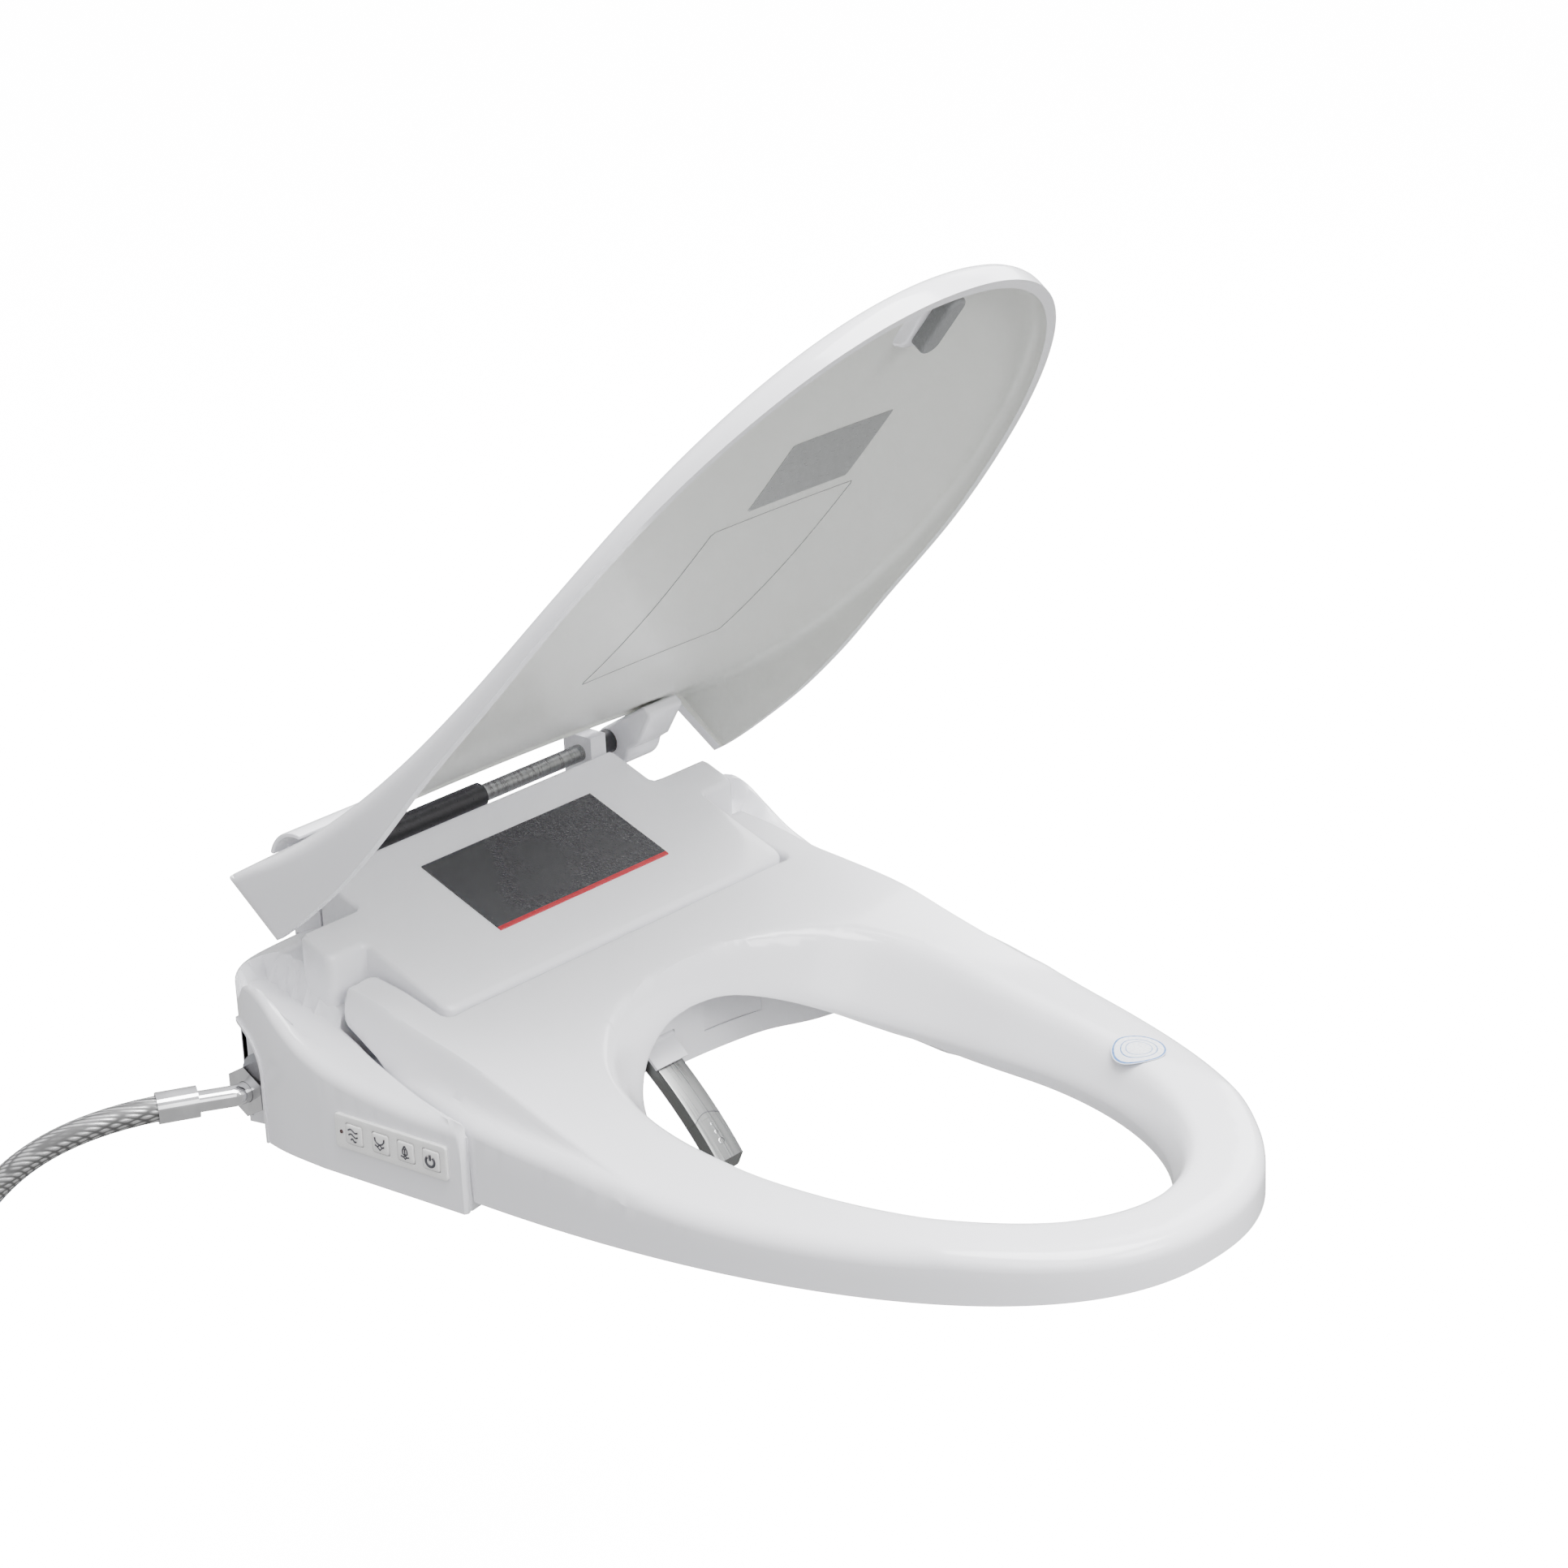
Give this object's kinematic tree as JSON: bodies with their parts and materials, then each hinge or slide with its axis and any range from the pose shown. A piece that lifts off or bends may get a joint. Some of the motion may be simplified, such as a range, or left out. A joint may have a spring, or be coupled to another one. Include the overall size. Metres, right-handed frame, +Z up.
{
  "type": "electric bidet seat",
  "caption": "Electric bidet seat with a contoured ring, a half-open lid, a curved retractable wash nozzle, a side push-button panel and a braided water inlet hose.",
  "frame": {"origin": "midway between the two bowl bolts, on the face that rests on the bowl's rim", "axes": "+Z up; -Y towards the front of the seat, away from the hinges; -X is the side with the push buttons and the water inlet"},
  "size_m": [0.552, 0.5938, 0.827],
  "materials": {
    "gloss_white": "glossy, softly rounded",
    "white_plastic": "satin",
    "panel_white": "satin gloss",
    "grey_plastic": "moulded",
    "black_plastic": "satin",
    "grey_rubber": "matt",
    "foil": "foil backed wire mat",
    "silver_foil": "printed foil label, text left out",
    "sticker": "printed paper disc",
    "label_black": "dark glossy strip, text left out",
    "label_red": "red printed edge",
    "lens": "lamp lens",
    "circuit_board": "solder masked",
    "steel": "brushed",
    "chrome": "polished",
    "motor_metal": "zinc plated",
    "braid": "stainless braid over a rubber tube"
  },
  "bodies": {
    "housing": {"top_cover": "gloss_white", "hinge_brackets": "white_plastic", "base_tray": "white_plastic", "mounting_plate": "grey_plastic", "housing_screws": "steel", "mains_gland": "black_plastic", "label_plate": "label_black", "label_stripe": "label_red", "control_panel": "panel_white", "panel_board": "circuit_board", "indicator_lens": "lens", "hinge_shaft": "steel", "lid_damper": "black_plastic", "shaft_collars": "black_plastic", "nozzle_guide": "grey_plastic", "nozzle_motor": "motor_metal", "shutter_pin": "steel", "dryer_flap_pin": "steel", "dryer_fan_case": "grey_plastic", "dryer_duct": "grey_plastic", "water_tank": "grey_plastic", "main_board": "circuit_board", "air_pump": "motor_metal", "solenoid_valve": "black_plastic", "seat_damper": "black_plastic", "inlet_flange": "grey_plastic", "inlet_nut": "chrome", "inlet_elbow": "chrome", "hose_ferrules": "chrome", "inlet_hose": "braid", "hose_end_nut": "chrome"},
    "seat": {"seat_upper_shell": "gloss_white", "seat_lower_shell": "white_plastic", "seat_heater_mat": "foil", "seat_bumpers": "grey_rubber", "seat_sticker": "sticker", "seat_hinge_pins": "steel"},
    "lid": {"lid_shell": "gloss_white", "lid_sticker": "silver_foil", "lid_bumper": "grey_rubber"},
    "nozzle": {"nozzle_wand": "steel", "nozzle_tip": "steel"},
    "pinion": {"nozzle_pinion": "grey_plastic"},
    "shutter": {"nozzle_shutter": "white_plastic"},
    "flap": {"dryer_flap": "white_plastic"},
    "fan": {"dryer_fan_wheel": "black_plastic"},
    "latch": {"plate_latch": "grey_plastic"},
    "front_wash": {"button_front_wash": "panel_white"},
    "rear_wash": {"button_rear_wash": "panel_white"},
    "massage": {"button_massage": "panel_white"},
    "power": {"button_power": "panel_white"}
  },
  "joints": [
    {"name": "lid_hinge", "type": "hinge", "parent": "housing", "child": "lid", "pos_m": [0, 0.0316, 0.1204], "axis": [-1, 0, 0], "range_deg": [-50.2, 56]},
    {"name": "seat_hinge", "type": "hinge", "parent": "housing", "child": "seat", "pos_m": [0, -0.073, 0.073], "axis": [-1, 0, 0], "range_deg": [0, 57]},
    {"name": "nozzle_slide", "type": "hinge", "parent": "housing", "child": "nozzle", "pos_m": [0, 0.0327, -0.18851], "axis": [-1, 0, 0], "range_deg": [0, 13.8]},
    {"name": "shutter_hinge", "type": "hinge", "parent": "housing", "child": "shutter", "pos_m": [0, -0.1189, 0.02], "axis": [-1, 0, 0], "range_deg": [-4, 30]},
    {"name": "dryer_flap_hinge", "type": "hinge", "parent": "housing", "child": "flap", "pos_m": [0.052, -0.12337, 0.0318], "axis": [-0.9885, 0.1515, 0], "range_deg": [0, 40]},
    {"name": "dryer_fan_spin", "type": "hinge", "parent": "housing", "child": "fan", "pos_m": [0.108, -0.098, 0.02], "axis": [0, 0, 1], "continuous": true},
    {"name": "plate_latch_slide", "type": "slide", "parent": "housing", "child": "latch", "axis": [1, 0, 0], "range_m": [0, 0.0048], "stiffness_N_per_m": 300},
    {"name": "pinion_spin", "type": "hinge", "parent": "housing", "child": "pinion", "pos_m": [0, -0.06378, 0.02818], "axis": [-1, 0, 0], "range_deg": [-428.49, 5]},
    {"name": "button_front_wash", "type": "slide", "parent": "housing", "child": "front_wash", "axis": [0.9968, 0.0793, 0], "range_m": [0, 0.001], "stiffness_N_per_m": 600},
    {"name": "button_rear_wash", "type": "slide", "parent": "housing", "child": "rear_wash", "axis": [0.9968, 0.0793, 0], "range_m": [0, 0.001], "stiffness_N_per_m": 600},
    {"name": "button_massage", "type": "slide", "parent": "housing", "child": "massage", "axis": [0.9968, 0.0793, 0], "range_m": [0, 0.001], "stiffness_N_per_m": 600},
    {"name": "button_power", "type": "slide", "parent": "housing", "child": "power", "axis": [0.9968, 0.0793, 0], "range_m": [0, 0.001], "stiffness_N_per_m": 600}
  ],
  "couplings": [
    {"joint": "pinion_spin", "follows": "nozzle_slide", "ratio": -30.688}
  ]
}
